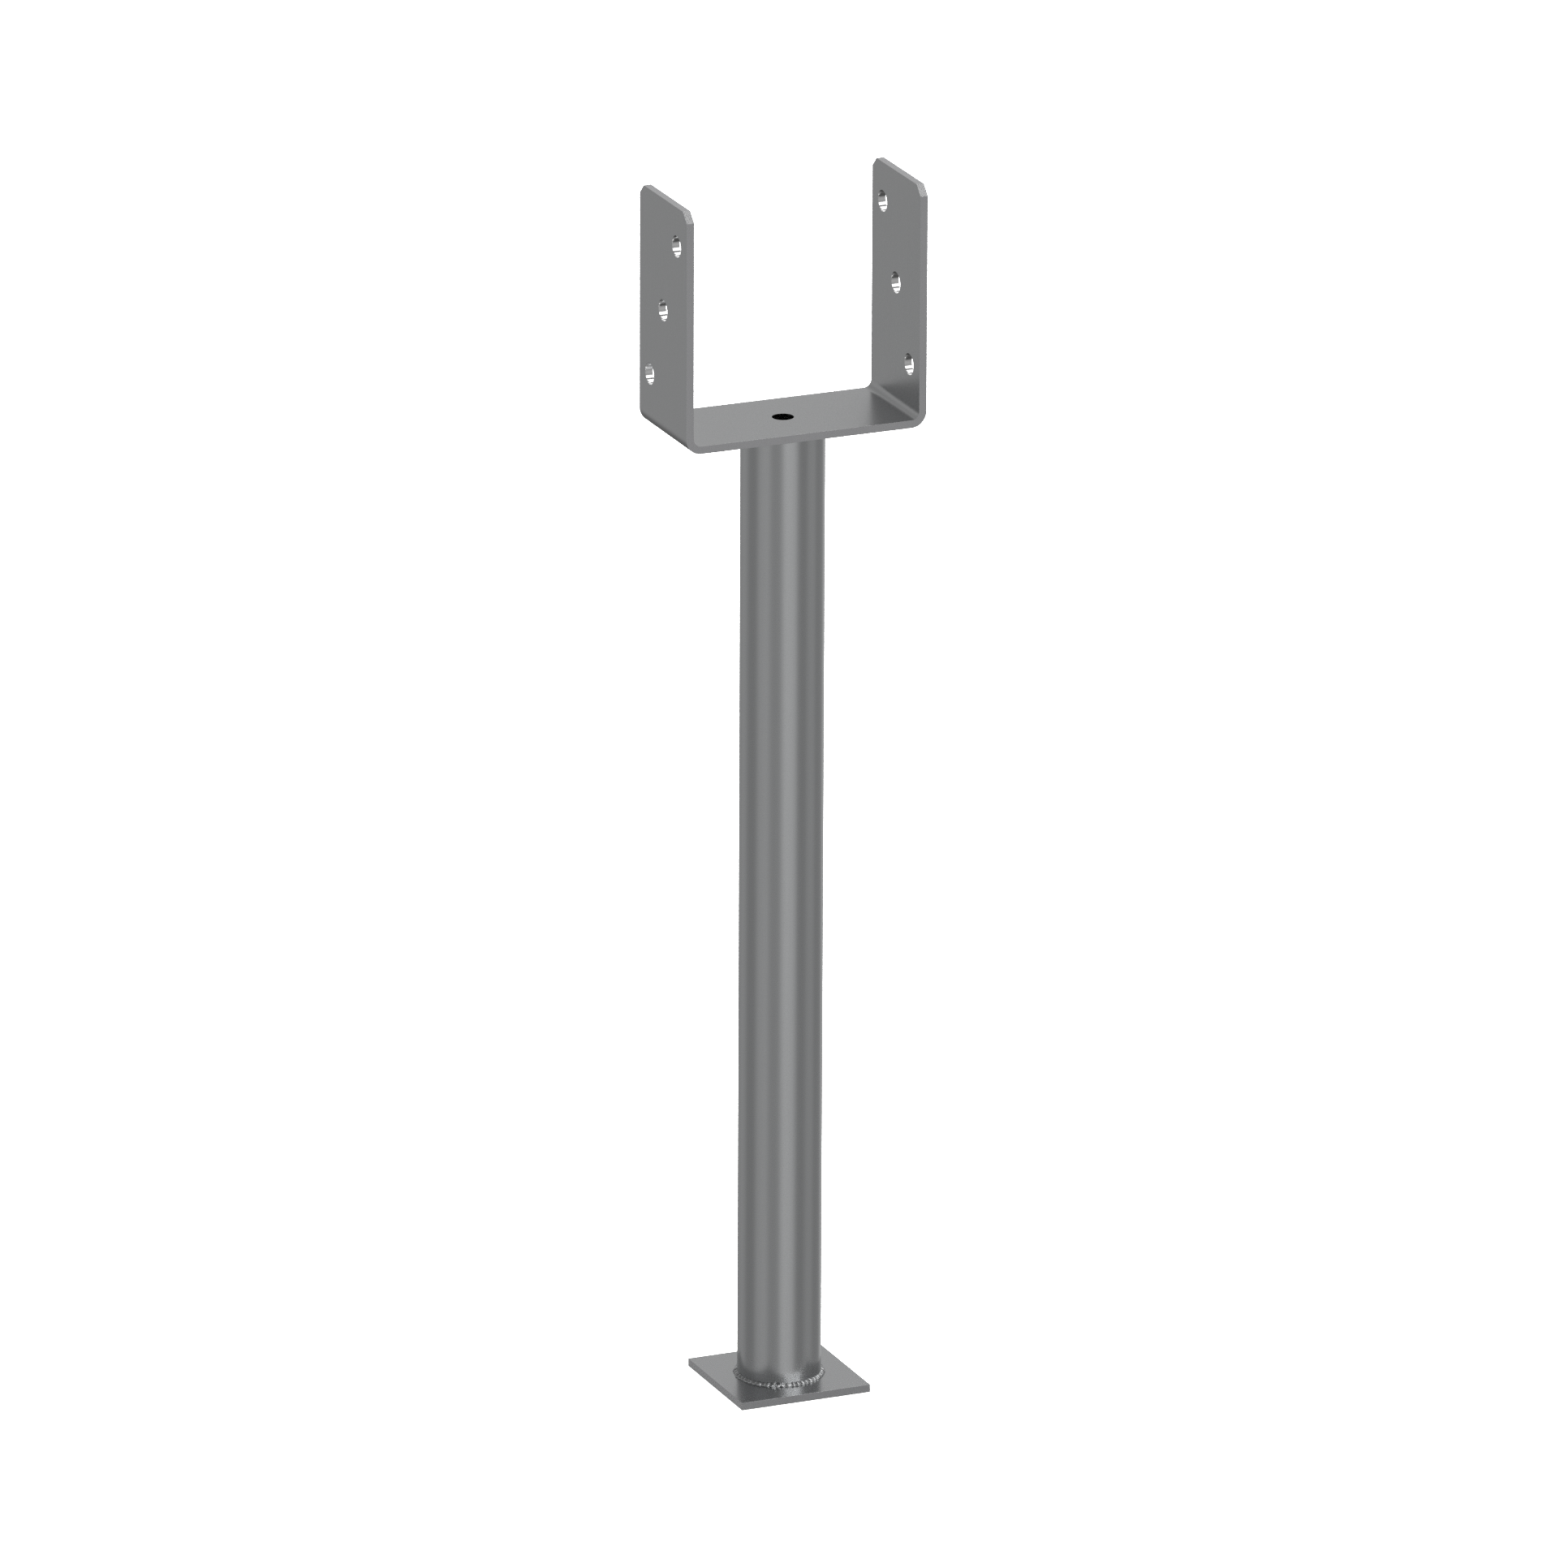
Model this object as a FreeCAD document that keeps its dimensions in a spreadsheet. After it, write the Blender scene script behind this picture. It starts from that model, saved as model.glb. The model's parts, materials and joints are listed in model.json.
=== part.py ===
"""Galvanised post base: a U-shaped fork for a square timber post, on a round
tube with a welded foot plate that is set in concrete.

Millimetres. +Z is up, X runs along the fork's web from leg to leg, and Y runs
across the strap. The origin is the centre of the foot plate's underside.
"""
import FreeCAD, Part
import math
import os
import Sketcher
from FreeCAD import Placement, Rotation, Vector

# Driving dimensions: alias, value in mm, what it is.
DIMENSIONS = (
    ("plate_side", 70, "side of the square foot plate"),
    ("plate_thick", 4, "foot plate thickness"),
    ("vent_dia", 11, "vent and drain hole in the middle of the foot plate"),
    ("tube_dia", 42.4, "outside diameter of the tube"),
    ("tube_wall", 2.6, "wall of the tube"),
    ("tube_length", 500, "tube length, from foot plate to fork"),
    ("post_width", 120, "side of the timber post that stands in the fork"),
    ("post_play", 1, "clearance left between the post and the two legs"),
    ("strap_width", 60, "width of the strap that the fork is bent from"),
    ("strap_thick", 4, "thickness of that strap"),
    ("leg_height", 120, "leg height above the seat that the post stands on"),
    ("bend_radius", 4, "inside radius of the two bends"),
    ("corner_cut", 5, "chamfer on the upper corners of the legs"),
    ("screw_dia", 11, "screw holes in the legs"),
    ("screw_top_drop", 20, "leg top down to the highest screw hole"),
    ("screw_low_rise", 25, "seat up to the lowest screw hole"),
    ("screw_edge_gap", 13, "strap edge to the centre of an outer screw hole"),
    ("seat_hole_dia", 11, "hole in the middle of the seat"),
    ("base_bead_foot", 1.8, "lower weld, reach across the foot plate"),
    ("base_bead_rise", 2.8, "lower weld, height up the tube"),
    ("top_bead_foot", 1.8, "upper weld, reach across the fork's underside"),
    ("top_bead_rise", 1.8, "upper weld, height down the tube"),
    ("bead_face_radius", 4, "radius of the welds' convex face"),
)

SCREWS_PER_LEG = 3
LEG_SIDES = {"left": -1, "right": 1}
FIRST_GUESS = 10.0  # any start value: each size is then set by its expression
SAME_VOLUME = 0.001  # share of a volume that two results may differ by
SAME_PLACE = 1e-3  # mm within which two coordinates are the same
X_AXIS, Y_AXIS, Z_AXIS = Vector(1, 0, 0), Vector(0, 1, 0), Vector(0, 0, 1)

# Sizes that follow from the driving ones, as expressions on the sheet.
GAP_WIDTH = "(dims.post_width + dims.post_play)"
FORK_WIDTH = f"({GAP_WIDTH} + 2 * dims.strap_thick)"
LEG_TOP = "(dims.strap_thick + dims.leg_height)"
FORK_UNDERSIDE = "(dims.plate_thick + dims.tube_length)"
SCREW_SPAN = "(dims.leg_height - dims.screw_top_drop - dims.screw_low_rise)"
SCREW_SPREAD = "(dims.strap_width - 2 * dims.screw_edge_gap)"

doc = FreeCAD.newDocument("post_base")


def fill_sheet():
    """Write the driving dimensions into the sheet, one aliased cell each."""
    sheet = doc.addObject("Spreadsheet::Sheet", "dims")
    for row, (alias, value, meaning) in enumerate(DIMENSIONS, start=1):
        sheet.set(f"A{row}", meaning)
        sheet.set(f"B{row}", str(value))
        sheet.setAlias(f"B{row}", alias)
    doc.recompute()
    return sheet


dims = fill_sheet()


# ---------------------------------------------------------------- helpers

def new_body(name):
    """A body whose label names its node."""
    body = doc.addObject("PartDesign::Body", name)
    body.Label = name
    return body


def origin_part(body, role):
    """One of the body's own origin planes or axes."""
    for feature in body.Origin.OriginFeatures:
        if feature.Role == role:
            return feature
    raise ValueError(f"{body.Label} has no origin part {role}")


def new_sketch(body, name, role):
    """An empty sketch on one of the body's own origin planes."""
    sketch = body.newObject("Sketcher::SketchObject", name)
    sketch.AttachmentSupport = (origin_part(body, role), [""])
    sketch.MapMode = "FlatFace"
    return sketch


def set_size(sketch, name, kind, where, expression):
    """Add a named dimension to a sketch and bind it to the sheet."""
    index = sketch.addConstraint(Sketcher.Constraint(kind, *where, FIRST_GUESS))
    sketch.renameConstraint(index, name)
    sketch.setExpression(f"Constraints.{name}", expression)


def add_outline(sketch, corners):
    """Draw a closed outline of straight lines and join it at its corners."""
    count = len(corners)
    points = [Vector(x, y, 0) for x, y in corners]
    lines = [
        sketch.addGeometry(Part.LineSegment(points[i], points[(i + 1) % count]))
        for i in range(count)
    ]
    for i in range(count):
        following = lines[(i + 1) % count]
        sketch.addConstraint(Sketcher.Constraint("Coincident", lines[i], 2, following, 1))
    return lines


def add_hole(sketch, name, diameter, across="0", up="0"):
    """Draw a circle whose centre is placed from the sketch's origin."""
    start = Vector(FIRST_GUESS, FIRST_GUESS, 0)
    circle = sketch.addGeometry(Part.Circle(start, Z_AXIS, FIRST_GUESS / 2))
    set_size(sketch, f"{name}_dia", "Diameter", (circle,), diameter)
    if across == "0" and up == "0":
        sketch.addConstraint(Sketcher.Constraint("Coincident", circle, 3, -1, 1))
        return
    set_size(sketch, f"{name}_across", "DistanceX", (-1, 1, circle, 3), across)
    set_size(sketch, f"{name}_up", "DistanceY", (-1, 1, circle, 3), up)


def pad(body, sketch, length, symmetric=False):
    """Extrude a sketch by a length taken from the sheet."""
    feature = body.newObject("PartDesign::Pad", f"{sketch.Name}_pad")
    feature.Profile = sketch
    feature.SideType = "Symmetric" if symmetric else "One side"
    feature.setExpression("Length", length)
    doc.recompute()
    return feature


def cut_through(body, sketch, towards_normal, hole_count, diameter, depth):
    """Pocket a sketch of round holes through the wall on one side of it.

    The pocket is refused if it doesn't remove exactly those holes, because one
    that points away from the solid cuts nothing and shows no error.
    """
    before = body.Shape.Volume
    feature = body.newObject("PartDesign::Pocket", f"{sketch.Name}_pocket")
    feature.Profile = sketch
    feature.Type = "ThroughAll"
    feature.Reversed = towards_normal
    doc.recompute()
    expected = hole_count * math.pi * (diameter / 2) ** 2 * depth
    removed = before - feature.Shape.Volume
    if abs(removed - expected) > expected * SAME_VOLUME:
        raise RuntimeError(f"{feature.Name} removed {removed:.1f}, not {expected:.1f} mm3")
    return feature


def edges_along(shape, axis, wanted):
    """Names of the straight edges that run along an axis and pass a test."""
    names = []
    for number, edge in enumerate(shape.Edges, start=1):
        if edge.Curve.TypeId != "Part::GeomLine":
            continue
        if abs(abs(edge.Curve.Direction.dot(axis)) - 1) > SAME_PLACE:
            continue
        if wanted(edge.CenterOfMass):
            names.append(f"Edge{number}")
    return names


def dress(body, kind, base, edges, size_name, expression, count):
    """Add a Fillet or Chamfer on the edges found, and check how many they are."""
    if len(edges) != count:
        raise RuntimeError(f"{kind} on {body.Label} found {len(edges)} edges, not {count}")
    feature = body.newObject(f"PartDesign::{kind}", f"{body.Label}_{kind.lower()}")
    feature.Base = (base, edges)
    feature.setExpression(size_name, expression)
    doc.recompute()
    return feature


def same(value, target):
    """Whether two coordinates are the same place."""
    return abs(value - target) < SAME_PLACE


# ---------------------------------------------------------------- pieces

def make_base_plate():
    """Square foot plate with a vent hole, so that zinc and water can drain."""
    body = new_body("base_plate")
    outline = new_sketch(body, "plate_outline", "XY_Plane")
    reach = FIRST_GUESS
    lines = add_outline(
        outline, ((-reach, -reach), (reach, -reach), (reach, reach), (-reach, reach))
    )
    for i, direction in enumerate(("Horizontal", "Vertical", "Horizontal", "Vertical")):
        outline.addConstraint(Sketcher.Constraint(direction, lines[i]))
    outline.addConstraint(Sketcher.Constraint("Symmetric", lines[0], 1, lines[1], 2, -1, 1))
    set_size(outline, "length", "DistanceX", (lines[0], 1, lines[0], 2), "dims.plate_side")
    set_size(outline, "width", "DistanceY", (lines[1], 1, lines[1], 2), "dims.plate_side")
    pad(body, outline, "dims.plate_thick")
    vent = new_sketch(body, "vent_outline", "XY_Plane")
    add_hole(vent, "vent", "dims.vent_dia")
    cut_through(body, vent, True, 1, dims.vent_dia, dims.plate_thick)
    return body


def make_stem_tube():
    """Round tube between the foot plate and the fork."""
    body = new_body("stem_tube")
    ring = new_sketch(body, "tube_ring", "XY_Plane")
    add_hole(ring, "outside", "dims.tube_dia")
    add_hole(ring, "inside", "dims.tube_dia - 2 * dims.tube_wall")
    pad(body, ring, "dims.tube_length")
    body.setExpression("Placement.Base.z", "dims.plate_thick")
    return body


def draw_fork_profile(body):
    """The fork seen from the front: a U of even thickness with square corners."""
    profile = new_sketch(body, "fork_profile", "XZ_Plane")
    out, deep = 3 * FIRST_GUESS, 4 * FIRST_GUESS
    inn, seat = 2 * FIRST_GUESS, FIRST_GUESS
    lines = add_outline(profile, (
        (-out, 0), (out, 0), (out, deep), (inn, deep),
        (inn, seat), (-inn, seat), (-inn, deep), (-out, deep),
    ))
    bottom, right, right_top, right_in, seat_line, left_in, left_top, left = lines
    for line in (bottom, right_top, left_top):
        profile.addConstraint(Sketcher.Constraint("Horizontal", line))
    for line in (right, right_in, left_in, left):
        profile.addConstraint(Sketcher.Constraint("Vertical", line))
    profile.addConstraint(Sketcher.Constraint("Symmetric", bottom, 1, bottom, 2, -1, 1))
    profile.addConstraint(Sketcher.Constraint("Symmetric", seat_line, 1, seat_line, 2, -2))
    profile.addConstraint(Sketcher.Constraint("Horizontal", right_top, 1, left_top, 1))
    set_size(profile, "width", "DistanceX", (bottom, 1, bottom, 2), FORK_WIDTH)
    set_size(profile, "gap", "DistanceX", (seat_line, 2, seat_line, 1), GAP_WIDTH)
    set_size(profile, "web", "DistanceY", (-1, 1, seat_line, 1), "dims.strap_thick")
    set_size(profile, "leg_top", "DistanceY", (right, 1, right, 2), LEG_TOP)
    return profile


def bend_corners(body):
    """Round the two bends, inside and outside, and cut the legs' upper corners."""
    base = body.Tip
    half_gap = (dims.post_width + dims.post_play) / 2
    half_fork = half_gap + dims.strap_thick
    half_width = dims.strap_width / 2
    leg_top = dims.strap_thick + dims.leg_height
    inner = edges_along(
        base.Shape, Y_AXIS,
        lambda at: same(abs(at.x), half_gap) and same(at.z, dims.strap_thick),
    )
    inside = dress(body, "Fillet", base, inner, "Radius", "dims.bend_radius", 2)
    outer = edges_along(
        inside.Shape, Y_AXIS,
        lambda at: same(abs(at.x), half_fork) and same(at.z, 0),
    )
    outside = dress(
        body, "Fillet", inside, outer, "Radius", "dims.bend_radius + dims.strap_thick", 2
    )
    corners = edges_along(
        outside.Shape, X_AXIS,
        lambda at: same(abs(at.y), half_width) and same(at.z, leg_top),
    )
    dress(body, "Chamfer", outside, corners, "Size", "dims.corner_cut", 4)


def drill_leg(body, side_name, side):
    """Punch one leg's screw holes, down a diagonal that starts at one edge.

    The two legs' diagonals run opposite ways, so that screws driven in from both
    sides never meet in the timber.
    """
    sketch = new_sketch(body, f"{side_name}_screw_holes", "YZ_Plane")
    steps = SCREWS_PER_LEG - 1
    for i in range(SCREWS_PER_LEG):
        across = f"{side} * {SCREW_SPREAD} * (0.5 - {i} / {steps})"
        up = f"{LEG_TOP} - dims.screw_top_drop - {SCREW_SPAN} * {i} / {steps}"
        add_hole(sketch, f"screw_{i + 1}", "dims.screw_dia", across, up)
    cut_through(body, sketch, side > 0, SCREWS_PER_LEG, dims.screw_dia, dims.strap_thick)


def make_u_bracket():
    """The fork: one flat strap bent up at both ends, its own origin at mid web."""
    body = new_body("u_bracket")
    pad(body, draw_fork_profile(body), "dims.strap_width", symmetric=True)
    bend_corners(body)
    for side_name, side in LEG_SIDES.items():
        drill_leg(body, side_name, side)
    seat_hole = new_sketch(body, "seat_hole", "XY_Plane")
    add_hole(seat_hole, "seat", "dims.seat_hole_dia")
    cut_through(body, seat_hole, True, 1, dims.seat_hole_dia, dims.strap_thick)
    body.setExpression("Placement.Base.z", FORK_UNDERSIDE)
    return body


def make_bead(name, foot, rise):
    """A weld run round the tube, with a slightly convex face, standing on z = 0."""
    body = new_body(name)
    section = new_sketch(body, f"{name}_section", "XZ_Plane")
    root, toe = Vector(2 * FIRST_GUESS, 0, 0), Vector(3 * FIRST_GUESS, 0, 0)
    crown = Vector(2 * FIRST_GUESS, FIRST_GUESS, 0)
    bulge = (toe + crown) / 2 + (toe + crown - root - root) / 10
    sole = section.addGeometry(Part.LineSegment(root, toe))
    wall = section.addGeometry(Part.LineSegment(crown, root))
    face = section.addGeometry(Part.Arc(toe, bulge, crown))
    section.addConstraint(Sketcher.Constraint("Coincident", sole, 1, wall, 2))
    section.addConstraint(Sketcher.Constraint("Coincident", sole, 2, face, 1))
    section.addConstraint(Sketcher.Constraint("Coincident", wall, 1, face, 2))
    section.addConstraint(Sketcher.Constraint("Vertical", wall))
    section.addConstraint(Sketcher.Constraint("PointOnObject", sole, 1, -1))
    section.addConstraint(Sketcher.Constraint("PointOnObject", sole, 2, -1))
    set_size(section, "root", "DistanceX", (-1, 1, sole, 1), "dims.tube_dia / 2")
    set_size(section, "foot", "DistanceX", (sole, 1, sole, 2), f"dims.{foot}")
    set_size(section, "rise", "DistanceY", (wall, 2, wall, 1), f"dims.{rise}")
    set_size(section, "face", "Radius", (face,), "dims.bead_face_radius")
    ring = body.newObject("PartDesign::Revolution", f"{name}_ring")
    ring.Profile = section
    ring.ReferenceAxis = (origin_part(body, "Z_Axis"), [""])
    ring.Angle = 360
    doc.recompute()
    return body


def make_base_weld():
    """Weld between the tube and the top of the foot plate."""
    body = make_bead("base_weld", "base_bead_foot", "base_bead_rise")
    body.setExpression("Placement.Base.z", "dims.plate_thick")
    return body


def make_top_weld():
    """Weld between the tube and the underside of the fork, so it hangs down."""
    body = make_bead("top_weld", "top_bead_foot", "top_bead_rise")
    body.Placement = Placement(Vector(), Rotation(X_AXIS, 180))
    body.setExpression("Placement.Base.z", FORK_UNDERSIDE)
    return body


# ---------------------------------------------------------------- output

def check_document(nodes):
    """Stop if any object failed, or any piece isn't one valid closed solid."""
    for item in doc.Objects:
        if "Invalid" in item.State or "Error" in item.State:
            raise RuntimeError(f"{item.Name} failed: {item.State}")
    for node in nodes:
        shape = node.Shape
        if shape.isNull() or not shape.isValid() or len(shape.Solids) != 1:
            raise RuntimeError(f"{node.Label} isn't one valid solid")


def write_steps(nodes):
    """Write each piece to a STEP file named after its node."""
    os.makedirs("parts", exist_ok=True)
    for node in nodes:
        node.Shape.exportStep(os.path.join("parts", f"{node.Label}.step"))
        print(f"{node.Label}: {node.Shape.Volume:.0f} mm3, {node.Shape.BoundBox}")


pieces = [
    make_base_plate(),
    make_stem_tube(),
    make_u_bracket(),
    make_base_weld(),
    make_top_weld(),
]
doc.recompute()
check_document(pieces)
write_steps(pieces)
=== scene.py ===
"""Hot-dip galvanised post base: strap fork, round tube, foot plate and two welds.

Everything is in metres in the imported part's frame: +Z up, X along the fork's web,
Y across the strap, origin under the middle of the foot plate.
"""
import json
import math

import bmesh
import bpy
from mathutils import Matrix, Vector, noise


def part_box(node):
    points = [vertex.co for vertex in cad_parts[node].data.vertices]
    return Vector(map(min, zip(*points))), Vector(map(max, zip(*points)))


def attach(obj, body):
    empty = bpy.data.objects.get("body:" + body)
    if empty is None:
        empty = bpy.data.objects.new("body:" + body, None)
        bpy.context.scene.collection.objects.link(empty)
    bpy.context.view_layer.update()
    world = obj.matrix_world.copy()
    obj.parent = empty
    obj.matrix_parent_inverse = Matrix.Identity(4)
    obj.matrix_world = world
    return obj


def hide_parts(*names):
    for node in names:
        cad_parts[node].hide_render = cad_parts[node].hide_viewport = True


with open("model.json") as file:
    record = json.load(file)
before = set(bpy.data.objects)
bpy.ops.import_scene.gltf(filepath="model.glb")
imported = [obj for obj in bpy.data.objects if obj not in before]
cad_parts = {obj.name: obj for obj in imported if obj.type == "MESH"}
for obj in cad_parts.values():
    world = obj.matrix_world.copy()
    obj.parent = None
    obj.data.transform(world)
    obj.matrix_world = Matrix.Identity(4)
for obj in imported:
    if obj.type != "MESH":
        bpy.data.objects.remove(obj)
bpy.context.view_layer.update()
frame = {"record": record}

MM = 0.001

# ------------------------------------------------------------------ sizes

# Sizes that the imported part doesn't state: bends, corner cuts and the tube's wall.
BEND_INSIDE = 4 * MM
CORNER_CUT = 5 * MM
TUBE_WALL = 2.6 * MM

PLATE_LOW, PLATE_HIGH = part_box("base_plate")
TUBE_LOW, TUBE_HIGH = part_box("stem_tube")
FORK_LOW, FORK_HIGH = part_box("u_bracket")
BASE_WELD_LOW, BASE_WELD_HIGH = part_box("base_weld")
TOP_WELD_LOW, TOP_WELD_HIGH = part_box("top_weld")
MOUNTS = {m["name"]: m for m in frame["record"]["mounts"]}

STRAP_WIDTH = FORK_HIGH.y - FORK_LOW.y
STRAP_THICK = MOUNTS["seat_hole"]["dims"]["length_mm"] * MM
SEAT_HOLE_RADIUS = MOUNTS["seat_hole"]["dims"]["r_mm"] * MM
FORK_WIDTH = FORK_HIGH.x - FORK_LOW.x
GAP_WIDTH = FORK_WIDTH - 2 * STRAP_THICK
SEAT_HEIGHT = FORK_LOW.z + STRAP_THICK
TUBE_RADIUS = TUBE_HIGH.x
VENT_RADIUS = SEAT_HOLE_RADIUS
VENT_REACH = 2 * VENT_RADIUS

# How the zinc leaves the edges: rounded over, never knife sharp.
EDGE_ROUND = 0.03 * MM
EDGE_STEPS = 2
HOLE_STEPS = 48
SHALLOW = 0.05
BEND_STEPS = 24
TUBE_STEPS = 128
SHARP_TURN = math.radians(30)
TINY = 1e-6


# ------------------------------------------------------------------ mesh tools

def make_piece(name, bm, materials, node):
    """Turn a finished bmesh into a piece that replaces a node of the part."""
    mesh = bpy.data.meshes.new(name)
    bm.to_mesh(mesh)
    bm.free()
    piece = bpy.data.objects.new(name, mesh)
    bpy.context.scene.collection.objects.link(piece)
    for material in materials:
        mesh.materials.append(material)
    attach(piece, "root")
    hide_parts(node)
    return piece


def keep_flats_flat(piece):
    """Weight the normals by face size, so that only the rounded edges shade round."""
    weighted = piece.modifiers.new("flat_faces", "WEIGHTED_NORMAL")
    weighted.mode = "FACE_AREA"
    weighted.weight = 100
    weighted.keep_sharp = True


def cut_line(bm, point, direction):
    """Score the whole blank along a line, so that there are edges to work with."""
    everything = bm.verts[:] + bm.edges[:] + bm.faces[:]
    bmesh.ops.bisect_plane(bm, geom=everything, dist=TINY, plane_co=point, plane_no=direction)


def flat_blank(length, width):
    """A flat rectangle in X and Y about the origin, as one face."""
    bm = bmesh.new()
    bmesh.ops.create_grid(bm, x_segments=1, y_segments=1, size=0.5)
    bmesh.ops.scale(bm, vec=(length, width, 1), verts=bm.verts)
    return bm


def nearest_face(bm, centre):
    """The face whose middle is nearest to a point."""
    return min(bm.faces, key=lambda f: (f.calc_center_median() - centre).length)


def punch(bm, centre, radius, reach):
    """Replace the square cell round a centre by a ring of faces with a round hole.

    The first inset is shallow, so that its corners stay in order round the hole.
    """
    for step in (-reach, reach):
        cut_line(bm, centre + Vector((step, 0, 0)), Vector((1, 0, 0)))
        cut_line(bm, centre + Vector((0, step, 0)), Vector((0, 1, 0)))
    middle = nearest_face(bm, centre)
    cuts = HOLE_STEPS // len(middle.edges) - 1
    bmesh.ops.subdivide_edges(bm, edges=middle.edges[:], cuts=cuts)
    middle = nearest_face(bm, centre)
    bmesh.ops.inset_individual(bm, faces=[middle], thickness=(reach - radius) * SHALLOW)
    middle = nearest_face(bm, centre)
    rim = sorted(middle.verts, key=lambda v: heading(v.co - centre))
    start = heading(rim[0].co - centre)
    for i, vert in enumerate(rim):
        angle = start + 2 * math.pi * i / len(rim)
        vert.co = centre + radius * Vector((math.cos(angle), math.sin(angle), 0))
    bmesh.ops.delete(bm, geom=[middle], context="FACES_ONLY")


def heading(vector):
    """The direction of a vector in X and Y, as an angle."""
    return math.atan2(vector.y, vector.x)


SKIN, CUT_EDGE, CORNER, HOLE_WALL = range(4)


def thicken(bm, thickness, holes, corner_test):
    """Give the blank its thickness downwards and sort its faces by how they were made."""
    top = bm.faces[:]
    made = bmesh.ops.extrude_face_region(bm, geom=top)
    moved = [g for g in made["geom"] if isinstance(g, bmesh.types.BMVert)]
    bmesh.ops.translate(bm, vec=(0, 0, -thickness), verts=moved)
    bmesh.ops.recalc_face_normals(bm, faces=bm.faces)
    for face in bm.faces:
        middle = face.calc_center_median()
        if abs(face.normal.z) > 0.5:
            face.material_index = SKIN
        elif any((middle.xy - centre.xy).length < radius + MM for centre, radius in holes):
            face.material_index = HOLE_WALL
        else:
            face.material_index = CORNER if corner_test(face.normal) else CUT_EDGE


def round_edges(bm, is_bent):
    """Round every sharp edge by the same small radius, and shade only round faces smooth."""
    sharp = [
        e for e in bm.edges
        if len(e.link_faces) == 2 and e.calc_face_angle(0) > SHARP_TURN
    ]
    made = bmesh.ops.bevel(
        bm, geom=sharp, affect="EDGES", offset=EDGE_ROUND, offset_type="OFFSET",
        segments=EDGE_STEPS, profile=0.5, material=-1, clamp_overlap=True,
    )
    rounded = set(made["faces"])
    for face in bm.faces:
        bent = face.material_index == SKIN and is_bent(face.calc_center_median())
        face.smooth = face in rounded or face.material_index == HOLE_WALL or bent


# ------------------------------------------------------------------ fork

LEG_STRAIGHT = FORK_HIGH.z - SEAT_HEIGHT - BEND_INSIDE
BEND_MIDDLE = BEND_INSIDE + STRAP_THICK / 2
BEND_LENGTH = BEND_MIDDLE * math.pi / 2
WEB_STRAIGHT = GAP_WIDTH - 2 * BEND_INSIDE
FLAT_LENGTH = 2 * (LEG_STRAIGHT + BEND_LENGTH) + WEB_STRAIGHT


def fold(point):
    """Where a point of the flat strap goes when both legs are bent up."""
    side = 1 if point.x > 0 else -1
    along, depth = abs(point.x) - WEB_STRAIGHT / 2, -point.z
    if along <= 0:
        return Vector((point.x, point.y, SEAT_HEIGHT - depth))
    turn = min(along / BEND_LENGTH, 1) * math.pi / 2
    rise = max(along - BEND_LENGTH, 0)
    radius = BEND_INSIDE + depth
    out = WEB_STRAIGHT / 2 + radius * math.sin(turn)
    up = SEAT_HEIGHT + BEND_INSIDE - radius * math.cos(turn) + rise
    return Vector((side * out, point.y, up))


def flat_hole(mount):
    """Where a leg's screw hole lies on the strap while it is still flat."""
    x, y, z = mount["pos_m"]
    rise = z - SEAT_HEIGHT - BEND_INSIDE
    along = WEB_STRAIGHT / 2 + BEND_LENGTH + rise
    return Vector((math.copysign(along, x), y, 0))


def make_fork():
    """Cut the strap to length, punch it, crop its corners, and bend the legs up."""
    bm = flat_blank(FLAT_LENGTH, STRAP_WIDTH)
    bends = [WEB_STRAIGHT / 2 + BEND_LENGTH * i / BEND_STEPS for i in range(BEND_STEPS + 1)]
    for along in bends:
        for side in (-1, 1):
            cut_line(bm, Vector((side * along, 0, 0)), Vector((1, 0, 0)))
    screws = [m for name, m in MOUNTS.items() if name.endswith("screw_hole")]
    holes = [(flat_hole(m), m["dims"]["r_mm"] * MM) for m in screws]
    holes.append((Vector((0, 0, 0)), SEAT_HOLE_RADIUS))
    reach = max(abs(centre.y) for centre, radius in holes) / 2
    for centre, radius in holes:
        punch(bm, centre, radius, reach)
    crop_corners(bm)
    thicken(bm, STRAP_THICK, holes, lambda normal: min(abs(normal.x), abs(normal.y)) > 0.3)
    round_edges(bm, lambda point: 0 < abs(point.x) - WEB_STRAIGHT / 2 < BEND_LENGTH)
    for vert in bm.verts:
        vert.co = fold(vert.co)
    bmesh.ops.recalc_face_normals(bm, faces=bm.faces)
    materials = [strap_skin(), sheared_strap(), cropped_corner(), punched_wall()]
    piece = make_piece("fork_strap", bm, materials, "u_bracket")
    keep_flats_flat(piece)
    return piece


def crop_corners(bm):
    """Cut the four outer corners off the flat strap at 45 degrees."""
    for side_x in (-1, 1):
        for side_y in (-1, 1):
            corner = Vector((side_x * FLAT_LENGTH / 2, side_y * STRAP_WIDTH / 2, 0))
            inwards = Vector((-side_x, -side_y, 0)).normalized()
            start = corner + inwards * CORNER_CUT / math.sqrt(2)
            everything = bm.verts[:] + bm.edges[:] + bm.faces[:]
            bmesh.ops.bisect_plane(
                bm, geom=everything, dist=TINY, plane_co=start, plane_no=-inwards,
                clear_outer=True,
            )


# ------------------------------------------------------------------ plate and tube

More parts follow.
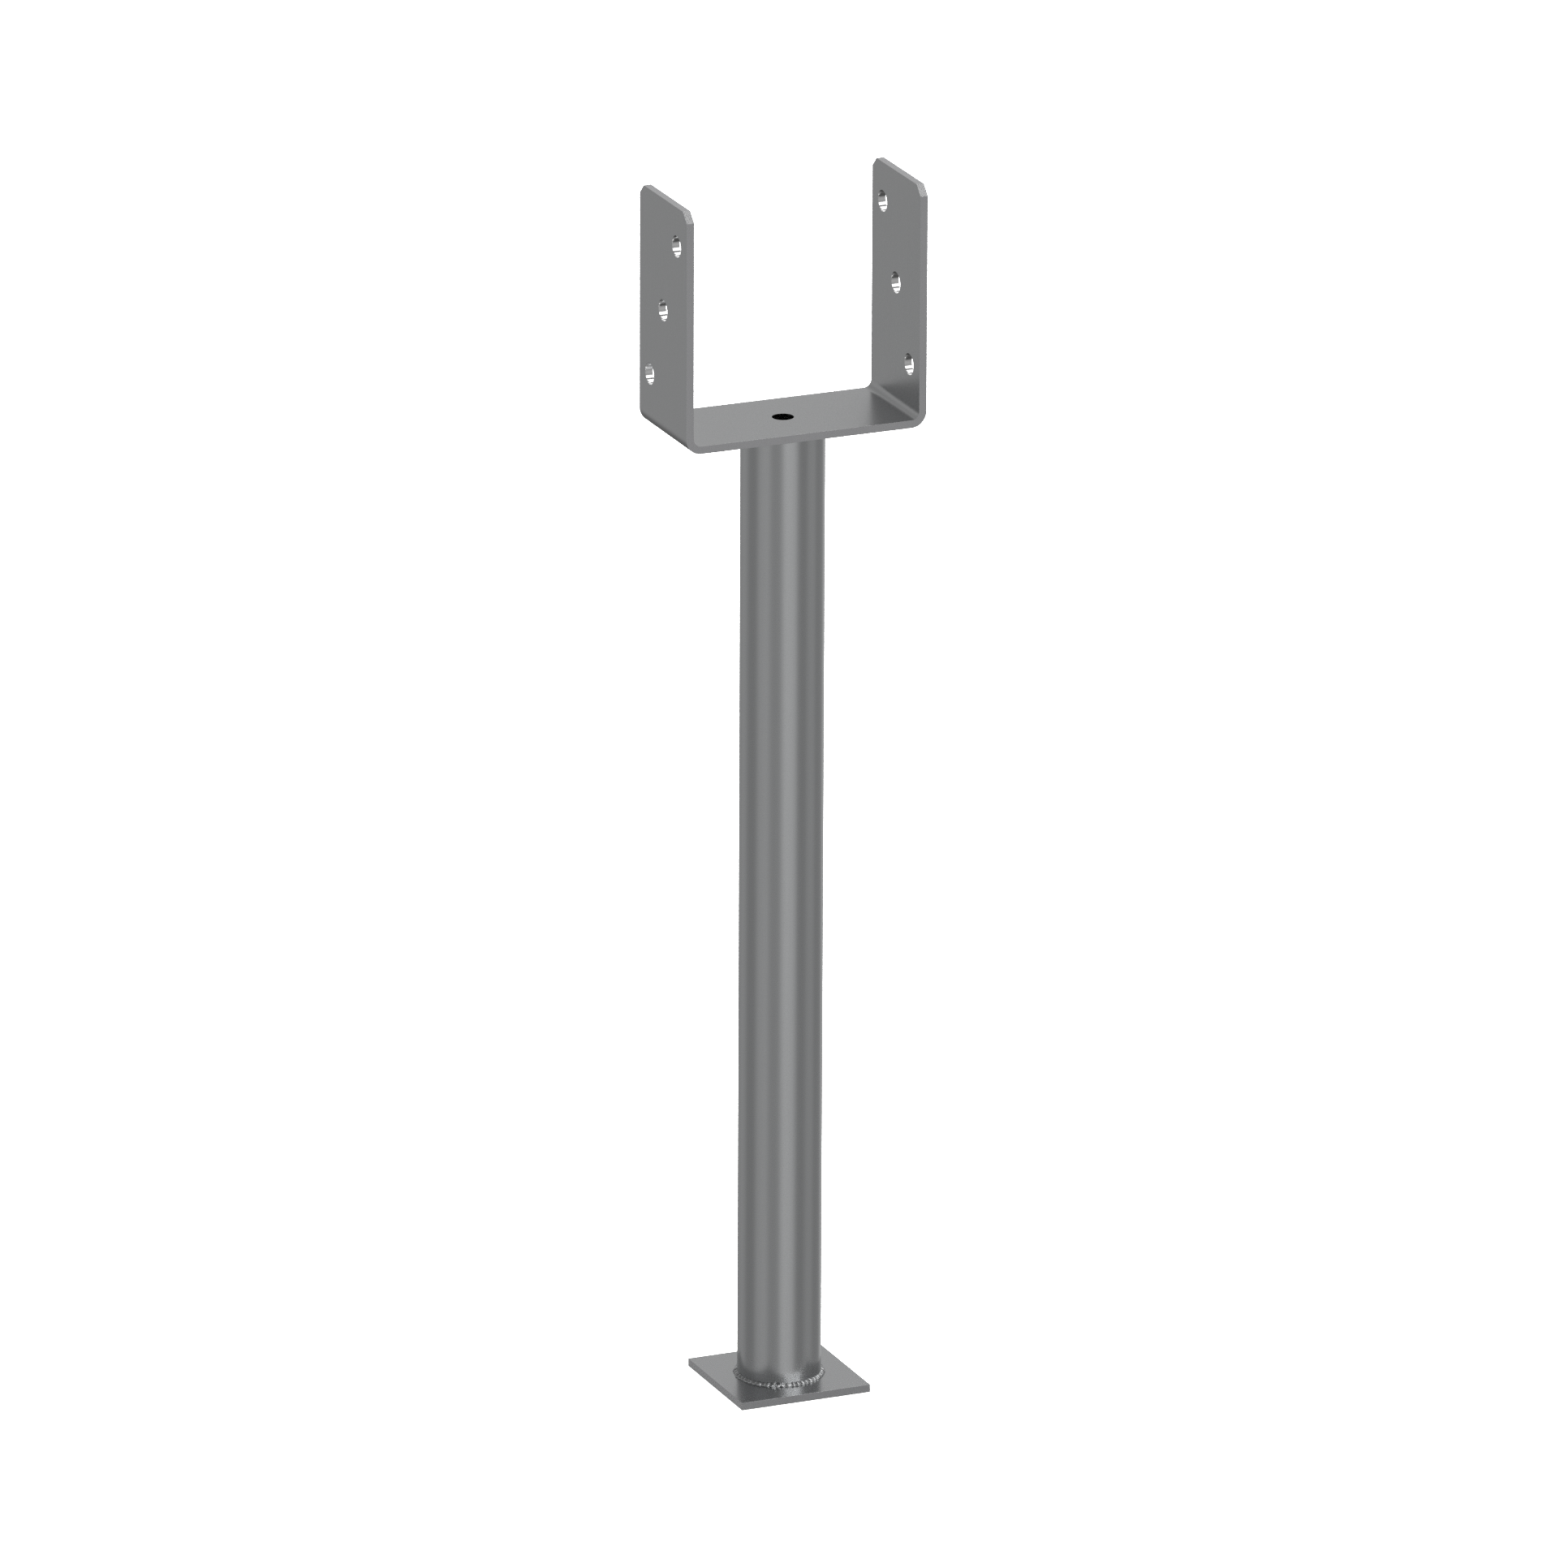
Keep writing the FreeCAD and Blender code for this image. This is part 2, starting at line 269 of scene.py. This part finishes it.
def make_foot_plate():
    """Square plate with its vent hole, cut edges all round."""
    size = PLATE_HIGH - PLATE_LOW
    bm = flat_blank(size.x, size.y)
    vent = Vector((0, 0, 0))
    punch(bm, vent, VENT_RADIUS, VENT_REACH)
    thicken(bm, size.z, [(vent, VENT_RADIUS)], lambda normal: False)
    round_edges(bm, lambda point: False)
    bmesh.ops.translate(bm, vec=(0, 0, PLATE_HIGH.z), verts=bm.verts)
    materials = [plate_skin(), sheared_plate(), cropped_corner(), punched_wall()]
    piece = make_piece("foot_plate", bm, materials, "base_plate")
    keep_flats_flat(piece)
    return piece


def make_tube():
    """Round tube with a real wall, its cut ends closed by rings."""
    bm = bmesh.new()
    wall = TUBE_WALL
    length = TUBE_HIGH.z - TUBE_LOW.z
    outside = bmesh.ops.create_circle(bm, segments=TUBE_STEPS, radius=TUBE_RADIUS)
    inside = bmesh.ops.create_circle(bm, segments=TUBE_STEPS, radius=TUBE_RADIUS - wall)
    rings = {e for v in outside["verts"] + inside["verts"] for e in v.link_edges}
    bmesh.ops.bridge_loops(bm, edges=list(rings))
    made = bmesh.ops.extrude_face_region(bm, geom=bm.faces[:])
    moved = [g for g in made["geom"] if isinstance(g, bmesh.types.BMVert)]
    bmesh.ops.translate(bm, vec=(0, 0, length), verts=moved)
    bmesh.ops.translate(bm, vec=(0, 0, TUBE_LOW.z), verts=bm.verts)
    bmesh.ops.recalc_face_normals(bm, faces=bm.faces)
    for edge in bm.edges:
        if len(edge.link_faces) == 2 and edge.calc_face_angle(0) > SHARP_TURN:
            edge.smooth = False
    for face in bm.faces:
        face.smooth = True
    return make_piece("stem_tube_wall", bm, [tube_skin()], "stem_tube")


# ------------------------------------------------------------------ welds

RIPPLE_COUNT = 52
STEPS_PER_RIPPLE = 22
RIPPLE_SWELL = 0.7 * MM
UNEVEN_START, UNEVEN_SIZE = 0.45, 0.9

# The bead under the ripples: how much of the weld's foot and rise it takes, how far up
# the toe ends, how the toe leans and the top curves, and how deep it sinks in the tube.
BEAD_STEPS = 20
BARE_FOOT, BARE_RISE = 0.72, 0.44
SHOULDER = 0.25
TOE_LEAN, TOP_CURVE = 0.12, 1.3
SUNK = 0.3 * MM
LUMP_SPREAD = 0.4
TOP_TURN = math.radians(75)


def make_bead(name, node, foot, rise, level, upwards, lumps):
    """A weld run round the tube, made of overlapping ripples like a row of fish scales.

    A plain bead with a steep toe and a flatter top is spun round the tube, then each of
    its points is pushed out by the ripple it lies on. Lumps are where the run starts and
    stops: each has an angle, a place across the bead, a reach along it and a swell.
    """
    bm = bmesh.new()
    for i in range(BEAD_STEPS + 1):
        across = i / BEAD_STEPS
        inwards = max(across - SHOULDER, 0) / (1 - SHOULDER)
        drawn_in = TOE_LEAN * across + (1 - TOE_LEAN) * inwards ** TOP_CURVE
        out = BARE_FOOT * foot * (1 - drawn_in)
        bm.verts.new((TUBE_RADIUS + out, 0, BARE_RISE * rise * across))
    bm.verts.new((TUBE_RADIUS - SUNK, 0, BARE_RISE * rise))
    bm.verts.new((TUBE_RADIUS - SUNK, 0, -TINY))
    bm.verts.new((TUBE_RADIUS + BARE_FOOT * foot, 0, -TINY))
    bm.verts.ensure_lookup_table()
    count = len(bm.verts)
    for i in range(count):
        bm.edges.new((bm.verts[i], bm.verts[(i + 1) % count]))
    bmesh.ops.spin(
        bm, geom=bm.verts[:] + bm.edges[:], cent=(0, 0, 0), axis=(0, 0, 1),
        angle=2 * math.pi, steps=RIPPLE_COUNT * STEPS_PER_RIPPLE, use_merge=True,
    )
    bmesh.ops.remove_doubles(bm, verts=bm.verts, dist=TINY / 10)
    for vert in bm.verts:
        vert.co = rippled(vert.co, rise, lumps)
    if not upwards:
        bmesh.ops.scale(bm, vec=(1, 1, -1), verts=bm.verts)
    bmesh.ops.translate(bm, vec=(0, 0, level), verts=bm.verts)
    bmesh.ops.recalc_face_normals(bm, faces=bm.faces)
    for face in bm.faces:
        face.smooth = True
    return make_piece(name, bm, [weld_skin()], node)


def uneven(index, side):
    """A small number for a ripple, so that no two are quite alike."""
    return noise.noise(Vector((index * 1.37, side * 5.1, 0.5)))


def ripple_shape(along, across):
    """Height of one ripple, 0 to 1: a round scale that leans over the one before it."""
    lean = 1 - 0.35 * across
    return math.sin(math.pi * along ** lean) ** 0.8 * (1 - 0.35 * across)


def rippled(point, rise, lumps):
    """Move a point of the plain bead to where the ripples and the lumps put it."""
    out, up = point.xy.length - TUBE_RADIUS, point.z
    if up < 0 or out < -TINY:
        return point
    angle = heading(point)
    across = up / (BARE_RISE * rise)
    pitch = 2 * math.pi / RIPPLE_COUNT
    place = angle / pitch
    near = range(int(place) - 2, int(place) + 4)
    edges = [i + UNEVEN_START * uneven(i % RIPPLE_COUNT, 1) for i in near]
    start = max(e for e in edges if e <= place)
    stop = min(e for e in edges if e > place)
    size = 1 + UNEVEN_SIZE * uneven(round(start) % RIPPLE_COUNT, 2)
    push = RIPPLE_SWELL * size * ripple_shape((place - start) / (stop - start), across)
    for lump, height, reach, swell in lumps:
        along = TUBE_RADIUS * math.remainder(angle - math.radians(lump), 2 * math.pi)
        push += swell * math.exp(-(along / reach) ** 2 - ((across - height) / LUMP_SPREAD) ** 2)
    turn = TOP_TURN * across
    radius = TUBE_RADIUS + out + push * math.cos(turn)
    up = up + push * math.sin(turn)
    return Vector((radius * math.cos(angle), radius * math.sin(angle), up))


def make_base_weld():
    """Weld round the tube's foot, on the plate."""
    foot = BASE_WELD_HIGH.x - TUBE_RADIUS
    rise = BASE_WELD_HIGH.z - BASE_WELD_LOW.z
    lumps = [(-118.5, 0.8, 0.8 * MM, 1.2 * MM), (-115, 0, 0.5 * MM, 0.8 * MM),
             (-122, 0.1, 0.5 * MM, 0.7 * MM), (-110.5, 0.6, 0.8 * MM, 0.8 * MM)]
    return make_bead("base_weld_bead", "base_weld", foot, rise, PLATE_HIGH.z, True, lumps)


def make_top_weld():
    """Weld under the fork, which hangs upside down from the web."""
    foot = TOP_WELD_HIGH.x - TUBE_RADIUS
    rise = TOP_WELD_HIGH.z - TOP_WELD_LOW.z
    lumps = [(60, 0.5, 1.2 * MM, 0.4 * MM)]
    return make_bead("top_weld_bead", "top_weld", foot, rise, FORK_LOW.z, False, lumps)


# ------------------------------------------------------------------ materials

def linear(hex_colour):
    """An sRGB hex colour as the linear colour that shaders take."""
    channels = [int(hex_colour[i:i + 2], 16) / 255 for i in (0, 2, 4)]
    straight = [c / 12.92 if c <= 0.04045 else ((c + 0.055) / 1.055) ** 2.4 for c in channels]
    return (*straight, 1.0)


def add_node(tree, kind, settings=None, **links):
    """Add a node with its settings, and link or set its inputs by name or number."""
    node = tree.nodes.new(kind)
    for key, value in (settings or {}).items():
        setattr(node, key, value)
    for key, value in links.items():
        socket = node.inputs[int(key[1:])] if key[0] == "i" and key[1:].isdigit() else (
            node.inputs[key.replace("_", " ")]
        )
        if isinstance(value, bpy.types.NodeSocket):
            tree.links.new(value, socket)
        else:
            socket.default_value = value
    return node


ZINC = "a9aaab"
GRAIN = 0.7 * MM
STREAK = 22 * MM
NOISE_SPAN = 0.2
ROUGHNESS_SPREAD = 0.03


def zinc(
    name, colour=ZINC, roughness=0.25, grain_bump=0.003 * MM, streak_bump=0.001 * MM,
    tone=0.02, lay=(0, 0, 0),
):
    """Hot-dip zinc on steel: matt grey metal with fine grain and faint runs down it.

    Grain is the zinc's crystals, streaks are where it drained as the part was lifted
    from the bath, and tone is how much lighter and darker both make it. Lay turns the
    streaks, in degrees, for marks that don't run straight down.
    """
    material = bpy.data.materials.new(name)
    material.use_nodes = True
    tree = material.node_tree
    tree.nodes.clear()
    place = add_node(tree, "ShaderNodeTexCoord").outputs["Object"]
    turned = add_node(
        tree, "ShaderNodeMapping", Vector=place, Rotation=[math.radians(a) for a in lay]
    ).outputs["Vector"]
    drained = add_node(
        tree, "ShaderNodeMapping", Vector=turned, Scale=(1, 1, GRAIN / STREAK)
    ).outputs["Vector"]
    grain = add_node(
        tree, "ShaderNodeTexNoise", Vector=place, Scale=1 / GRAIN, Detail=2.0, Roughness=0.6
    ).outputs["Fac"]
    streak = add_node(
        tree, "ShaderNodeTexNoise", Vector=drained, Scale=1 / GRAIN, Detail=2.0, Roughness=0.5
    ).outputs["Fac"]
    both = add_node(
        tree, "ShaderNodeMix", {"data_type": "FLOAT"}, Factor=0.5, i2=grain, i3=streak
    ).outputs[0]
    lowest, highest = 0.5 - NOISE_SPAN, 0.5 + NOISE_SPAN
    lighter = add_node(
        tree, "ShaderNodeMapRange", Value=both, From_Min=lowest, From_Max=highest,
        To_Min=1 - tone, To_Max=1 + tone,
    ).outputs["Result"]
    base = add_node(
        tree, "ShaderNodeVectorMath", {"operation": "SCALE"},
        i0=linear(colour)[:3], Scale=lighter,
    ).outputs["Vector"]
    rough = add_node(
        tree, "ShaderNodeMapRange", Value=grain, From_Min=lowest, From_Max=highest,
        To_Min=roughness - ROUGHNESS_SPREAD, To_Max=roughness + ROUGHNESS_SPREAD,
    ).outputs["Result"]
    runs = add_node(
        tree, "ShaderNodeBump", Strength=1.0, Distance=streak_bump, Height=streak
    ).outputs["Normal"]
    normal = add_node(
        tree, "ShaderNodeBump", Strength=1.0, Distance=grain_bump, Height=grain, Normal=runs
    ).outputs["Normal"]
    shader = add_node(
        tree, "ShaderNodeBsdfPrincipled", Base_Color=base, Metallic=1.0, Roughness=rough,
        Normal=normal,
    ).outputs["BSDF"]
    add_node(tree, "ShaderNodeOutputMaterial", Surface=shader)
    return material


def strap_skin():
    """Rolled strap under zinc: an even matt grey, with a sandy grain close up."""
    return zinc("galvanised_rolled_strap", roughness=0.3, grain_bump=0.0025 * MM)


def plate_skin():
    """Rolled plate under zinc, as even as the strap."""
    return zinc("galvanised_rolled_plate", grain_bump=0.003 * MM)


def tube_skin():
    """Drawn tube under zinc: smoother, so that it shows soft upright bands of light."""
    return zinc("galvanised_drawn_tube", grain_bump=0.0018 * MM, streak_bump=0.0008 * MM)


def sheared_strap():
    """Cut edge of the strap: lighter, with fine lines where the blade tore."""
    return zinc(
        "galvanised_sheared_strap", "b9b9bb", roughness=0.28, grain_bump=0.0015 * MM,
        streak_bump=0.004 * MM, tone=0.03,
    )


def sheared_plate():
    """Cut edge of the foot plate, with the same fine lines."""
    return zinc(
        "galvanised_sheared_plate", "aeaeb0", roughness=0.28, grain_bump=0.0015 * MM,
        streak_bump=0.004 * MM, tone=0.03,
    )


def cropped_corner():
    """Corner cut off by a press: brighter and scratched."""
    return zinc(
        "galvanised_cropped_corner", "c2c2c3", roughness=0.28, grain_bump=0.001 * MM,
        streak_bump=0.006 * MM, tone=0.05, lay=(50, 35, 0),
    )


def punched_wall():
    """Wall of a punched hole: burnished by the punch, so it catches the light."""
    return zinc(
        "galvanised_punched_wall", "d6d6d6", roughness=0.12, grain_bump=0.001 * MM, tone=0.03,
    )


def weld_skin():
    """Zinc over a weld bead: thicker and shinier than on the rolled steel."""
    return zinc(
        "galvanised_weld_bead", roughness=0.26, grain_bump=0.006 * MM, streak_bump=0.0,
        tone=0.03,
    )


# ------------------------------------------------------------------ studio

# The floor lies just clear of the plate, so that their faces don't flicker.
FLOOR_WIDTH = 6
FLOOR_DROP = 0.05 * MM
FLAG_WIDTH, FLAG_HEIGHT = 1.1, 0.45
FLAG_MIDDLE = Vector((0.3, -1, 0.96))


def stage_sheet(name, bm):
    """Make a plain object of the studio's own, which isn't part of the post base."""
    mesh = bpy.data.meshes.new(name)
    bm.to_mesh(mesh)
    bm.free()
    sheet = bpy.data.objects.new(name, mesh)
    bpy.context.scene.collection.objects.link(sheet)
    return sheet


def make_floor():
    """Plain white floor, larger than the view; the white surroundings go on behind it."""
    floor = stage_sheet("studio_floor", flat_blank(FLOOR_WIDTH, FLOOR_WIDTH))
    material = bpy.data.materials.new("white_studio_floor")
    material.use_nodes = True
    shader = material.node_tree.nodes["Principled BSDF"]
    shader.inputs["Base Color"].default_value = linear("f4f4f4")
    shader.inputs["Roughness"].default_value = 1.0
    shader.inputs["Specular IOR Level"].default_value = 0.0
    floor.data.materials.append(material)
    floor.location.z = -FLOOR_DROP
    floor.visible_glossy = False
    floor.visible_shadow = False


def make_flag():
    """A grey card between the low softbox and the fork, so that only the foot sees it.

    It is as bright as the surroundings are level with the fork. They are dimmer higher
    up, so its top is brighter than what it covers.
    """
    bm = flat_blank(FLAG_WIDTH, FLAG_HEIGHT)
    bmesh.ops.rotate(bm, matrix=Matrix.Rotation(math.pi / 2, 3, "X"), verts=bm.verts)
    bmesh.ops.translate(bm, vec=FLAG_MIDDLE, verts=bm.verts)
    flag = stage_sheet("studio_flag", bm)
    material = bpy.data.materials.new("grey_studio_flag")
    material.use_nodes = True
    tree = material.node_tree
    tree.nodes.clear()
    glow = add_node(
        tree, "ShaderNodeEmission", Color=linear("ffffff"), Strength=SURROUND * HIGHER_GAIN
    ).outputs["Emission"]
    add_node(tree, "ShaderNodeOutputMaterial", Surface=glow)
    flag.data.materials.append(material)
    flag.visible_camera = False


CAMERA_AZIMUTH, CAMERA_ELEVATION, CAMERA_ROLL = -23.16, 18.46, 0.24
CAMERA_DISTANCE = 8.677
CAMERA_LENS, SENSOR_WIDTH = 399.5, 36
AIM_HEIGHT = 0.3163
AIM_SIDE = 0.0013


def camera_axes():
    """The camera's right, up and backward directions."""
    turn, lift = math.radians(CAMERA_AZIMUTH), math.radians(CAMERA_ELEVATION)
    back = Vector((
        math.sin(turn) * math.cos(lift), -math.cos(turn) * math.cos(lift), math.sin(lift)
    ))
    right = Vector((0, 0, 1)).cross(back).normalized()
    up = back.cross(right)
    roll = math.radians(CAMERA_ROLL)
    tilted_right = right * math.cos(roll) + up * math.sin(roll)
    tilted_up = up * math.cos(roll) - right * math.sin(roll)
    return tilted_right, tilted_up, back


def make_camera():
    """A long lens far away, aimed at the middle of the stem."""
    right, up, back = camera_axes()
    data = bpy.data.cameras.new("studio_camera")
    data.lens = CAMERA_LENS
    data.sensor_width = SENSOR_WIDTH
    camera = bpy.data.objects.new("studio_camera", data)
    bpy.context.scene.collection.objects.link(camera)
    place = Vector((0, 0, AIM_HEIGHT)) + right * AIM_SIDE + back * CAMERA_DISTANCE
    turned = Matrix((right, up, back)).transposed().to_4x4()
    camera.matrix_world = Matrix.Translation(place) @ turned
    bpy.context.scene.camera = camera


# Softboxes: how far to the right each stands, from -1 to 1; its angle about X from the
# rear and its distance; its width, the degrees of that angle that it fills, and how
# bright it is. The gap between the key and the top one shows as a stripe in the holes.
SOFTBOXES = (
    ("low_softbox", 0.25, 154, 3, 2.2, 14, 5.4),
    ("key_softbox", 0.371, 132, 3, 2.2, 31, 2.1),
    ("top_softbox", 0.371, 82.3, 3, 2.6, 35.4, 2.1),
)
FLOOR_WASH = ("floor_wash", 0, 90, 5, 9, 90, 8.0)


def make_softbox(name, side, lift, distance, width, span, radiance):
    """A softbox that faces the object, level with X, and never shows itself."""
    turn, half = math.radians(lift), math.radians(span / 2)
    high = math.sqrt(1 - side ** 2)
    towards = Vector((side, math.cos(turn) * high, math.sin(turn) * high))
    data = bpy.data.lights.new(name, "AREA")
    data.shape = "RECTANGLE"
    data.size = width
    data.size_y = 2 * distance * math.tan(half * high)
    data.energy = radiance * math.pi * data.size * data.size_y
    light = bpy.data.objects.new(name, data)
    bpy.context.scene.collection.objects.link(light)
    level = (Vector((1, 0, 0)) - towards * towards.x).normalized()
    turned = Matrix((level, towards.cross(level), towards)).transposed().to_4x4()
    centre = Vector((0, 0, AIM_HEIGHT)) + towards * distance
    light.matrix_world = Matrix.Translation(centre) @ turned
    light.visible_camera = False
    return light


# Tall reflectors round the object: degrees from the camera to its right, half width
# and softness in degrees, and how much light each adds.
REFLECTORS = (
    ("front", -15, 20, 20, 0.10),
    ("front_right", 21, 15, 13, 0.47),
    ("front_left", -52, 14, 12, 0.25),
    ("right", 86, 11, 10, 0.15),
    ("rear_left", -122, 12, 10, 0.13),
    ("rear", 155, 12, 8, 0.25),
)
REAR_WALL = ("rear_wall", 180, 0.72, 1.0, 0.24)
SURROUND = 0.4
HIGHER_GAIN = 1.1

# How light changes with height, from -1 straight down to 1 straight up: where each
# change begins and ends, and its factor before and after.
HEIGHT_FADES = {
    "reflectors": (0.1, 0.5, 1.0, 0.0),
    "ground": (-0.6, -0.3, 0.25, 1.0),
    "higher": (-0.35, 0.35, 1.0, HIGHER_GAIN),
    "rear_wall": (-0.1, 0.25, 0.0, 1.0),
    "ceiling": (0.4, 0.7, 1.0, 0.5),
}


def compass_glow(tree, level, name, azimuth, dim_at, full_at, strength):
    """Light from one compass direction: none where the cosine is dim_at, all at full_at."""
    turn = math.radians(CAMERA_AZIMUTH + azimuth)
    near = add_node(
        tree, "ShaderNodeVectorMath", {"operation": "DOT_PRODUCT", "label": name},
        i0=level, i1=(math.sin(turn), -math.cos(turn), 0),
    ).outputs["Value"]
    return add_node(
        tree, "ShaderNodeMapRange", {"interpolation_type": "SMOOTHSTEP"}, Value=near,
        From_Min=dim_at, From_Max=full_at, To_Min=0.0, To_Max=strength,
    ).outputs["Result"]


def reflector_light(tree, level):
    """All the tall reflectors together."""
    total = None
    for name, azimuth, half, soft, strength in REFLECTORS:
        dim_at = math.cos(math.radians(half + soft))
        full_at = math.cos(math.radians(half - soft))
        lit = compass_glow(tree, level, name, azimuth, dim_at, full_at, strength)
        total = lit if total is None else add_node(
            tree, "ShaderNodeMath", {"operation": "ADD"}, i0=total, i1=lit
        ).outputs["Value"]
    return total


def make_world():
    """Soft grey surroundings with tall upright reflectors; plain white to the camera."""
    world = bpy.data.worlds.new("soft_studio")
    world.use_nodes = True
    tree = world.node_tree
    tree.nodes.clear()
    way = add_node(tree, "ShaderNodeTexCoord").outputs["Generated"]
    level = add_node(
        tree, "ShaderNodeVectorMath", {"operation": "MULTIPLY"}, i0=way, i1=(1, 1, 0)
    ).outputs["Vector"]
    level = add_node(
        tree, "ShaderNodeVectorMath", {"operation": "NORMALIZE"}, i0=level
    ).outputs["Vector"]
    height = add_node(tree, "ShaderNodeSeparateXYZ", Vector=way).outputs["Z"]
    fades = {}
    for name, (low, high, start, end) in HEIGHT_FADES.items():
        fades[name] = add_node(
            tree, "ShaderNodeMapRange", {"interpolation_type": "SMOOTHSTEP", "label": name},
            Value=height, From_Min=low, From_Max=high, To_Min=start, To_Max=end,
        ).outputs["Result"]
    light = add_node(
        tree, "ShaderNodeMath", {"operation": "MULTIPLY_ADD"},
        i0=reflector_light(tree, level), i1=fades["reflectors"], i2=SURROUND,
    ).outputs["Value"]
    for name in ("ground", "higher"):
        light = add_node(
            tree, "ShaderNodeMath", {"operation": "MULTIPLY"}, i0=light, i1=fades[name]
        ).outputs["Value"]
    light = add_node(
        tree, "ShaderNodeMath", {"operation": "MULTIPLY_ADD"},
        i0=compass_glow(tree, level, *REAR_WALL), i1=fades["rear_wall"], i2=light,
    ).outputs["Value"]
    light = add_node(
        tree, "ShaderNodeMath", {"operation": "MULTIPLY"}, i0=light, i1=fades["ceiling"]
    ).outputs["Value"]
    seen = add_node(tree, "ShaderNodeLightPath").outputs["Is Camera Ray"]
    strength = add_node(
        tree, "ShaderNodeMix", {"data_type": "FLOAT"}, Factor=seen, i2=light, i3=1.0
    ).outputs[0]
    shader = add_node(
        tree, "ShaderNodeBackground", Color=linear("ffffff"), Strength=strength
    ).outputs["Background"]
    add_node(tree, "ShaderNodeOutputWorld", Surface=shader)
    bpy.context.scene.world = world


def make_studio():
    """Floor, flag, camera, surroundings, softboxes, and a wash that whitens the floor."""
    make_floor()
    make_flag()
    make_camera()
    make_world()
    for softbox in SOFTBOXES:
        make_softbox(*softbox)
    make_softbox(*FLOOR_WASH).visible_glossy = False
    bpy.context.scene.view_settings.view_transform = "Standard"


# ------------------------------------------------------------------ scene

make_studio()
make_foot_plate()
make_tube()
make_fork()
make_base_weld()
make_top_weld()
